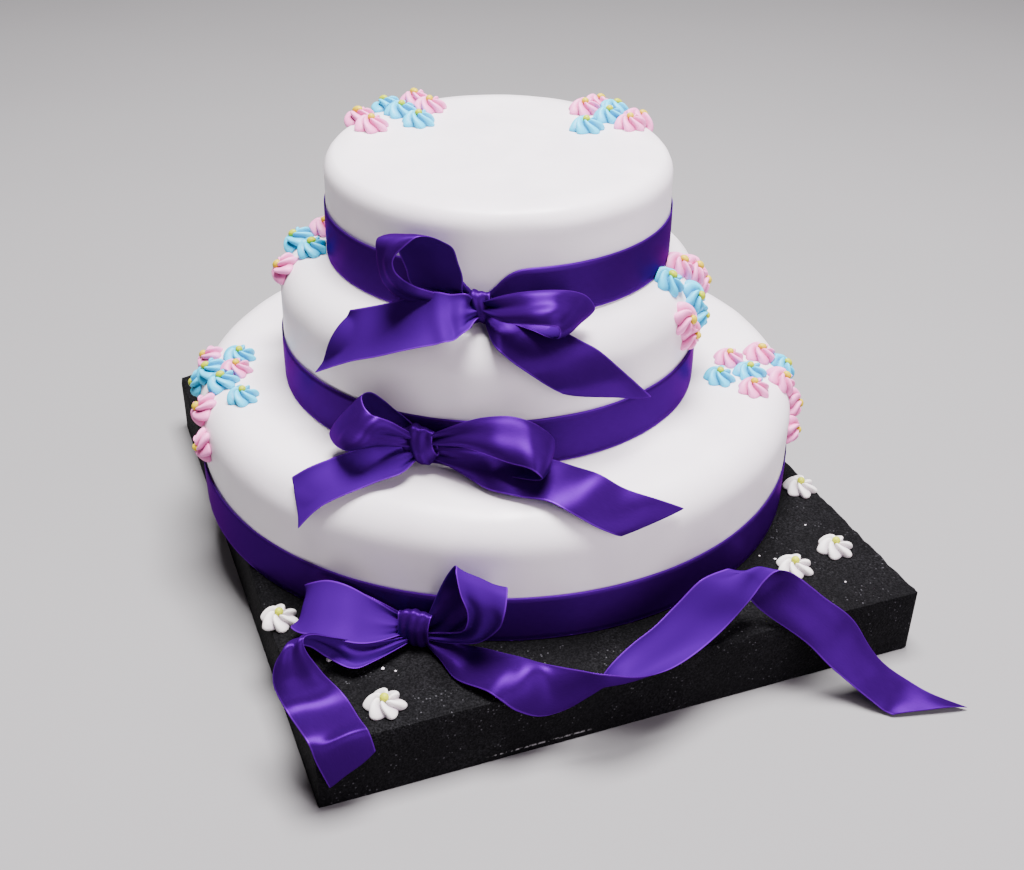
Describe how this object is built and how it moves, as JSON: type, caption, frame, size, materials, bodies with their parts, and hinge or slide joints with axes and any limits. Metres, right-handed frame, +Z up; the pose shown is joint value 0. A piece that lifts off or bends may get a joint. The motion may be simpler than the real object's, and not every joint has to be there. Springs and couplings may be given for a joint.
{
  "type": "tiered wedding cake",
  "caption": "Round tiered wedding cake in white icing on a square black board, each tier tied with a violet satin ribbon and bow and dressed with small piped flowers.",
  "frame": {"origin": "on the board's flat underside, directly below the axis of the bottom tier", "axes": "+Z up through the cake; +X to the right along the board's front edge; +Y towards the back, away from the bows"},
  "size_m": [0.3233, 0.3913, 0.2259],
  "materials": {
    "black_foam": "black rigid foam with a fine open grain and small glinting specks",
    "white_icing": "rolled white sugar paste, smooth and faintly satin",
    "violet_satin": "deep violet satin ribbon, bright across its folds, with a fine woven edge",
    "pink_icing": "piped sugar icing, soft pink, darker between the petals",
    "blue_icing": "piped sugar icing, pale turquoise blue, darker between the petals",
    "white_flower_icing": "piped white sugar icing with a pale yellow-green centre",
    "yellow_centre_icing": "small smooth ball of yellow icing"
  },
  "bodies": {
    "root": {"board": "black_foam", "tier_bottom": "white_icing", "tier_middle": "white_icing", "tier_top": "white_icing", "band_bottom": "violet_satin", "band_middle": "violet_satin", "band_top": "violet_satin", "bow_bottom": "violet_satin", "bow_middle": "violet_satin", "bow_top": "violet_satin", "flower_top_left_1": "pink_icing", "flower_top_left_2": "pink_icing", "flower_top_left_3": "blue_icing", "flower_top_left_4": "blue_icing", "flower_top_left_5": "pink_icing", "flower_top_left_6": "pink_icing", "flower_top_left_7": "blue_icing", "flower_top_right_1": "pink_icing", "flower_top_right_2": "pink_icing", "flower_top_right_3": "blue_icing", "flower_top_right_4": "blue_icing", "flower_top_right_5": "blue_icing", "flower_top_right_6": "pink_icing", "flower_top_right_7": "pink_icing", "flower_middle_left_1": "pink_icing", "flower_middle_left_2": "blue_icing", "flower_middle_left_3": "blue_icing", "flower_middle_left_4": "pink_icing", "flower_middle_left_5": "pink_icing", "flower_middle_right_1": "pink_icing", "flower_middle_right_2": "pink_icing", "flower_middle_right_3": "pink_icing", "flower_middle_right_4": "blue_icing", "flower_middle_right_5": "blue_icing", "flower_middle_right_6": "blue_icing", "flower_middle_right_7": "pink_icing", "flower_middle_right_8": "pink_icing", "flower_bottom_left_1": "pink_icing", "flower_bottom_left_2": "blue_icing", "flower_bottom_left_3": "blue_icing", "flower_bottom_left_4": "pink_icing", "flower_bottom_left_5": "blue_icing", "flower_bottom_left_6": "blue_icing", "flower_bottom_left_7": "blue_icing", "flower_bottom_left_8": "pink_icing", "flower_bottom_left_9": "pink_icing", "flower_bottom_right_1": "pink_icing", "flower_bottom_right_2": "pink_icing", "flower_bottom_right_3": "blue_icing", "flower_bottom_right_4": "blue_icing", "flower_bottom_right_5": "blue_icing", "flower_bottom_right_6": "pink_icing", "flower_bottom_right_7": "pink_icing", "flower_bottom_right_8": "pink_icing", "flower_bottom_right_9": "pink_icing", "board_flower_1": "white_flower_icing", "board_flower_2": "white_flower_icing", "board_flower_3": "white_flower_icing", "board_flower_4": "white_flower_icing", "board_flower_5": "white_flower_icing"}
  },
  "joints": []
}
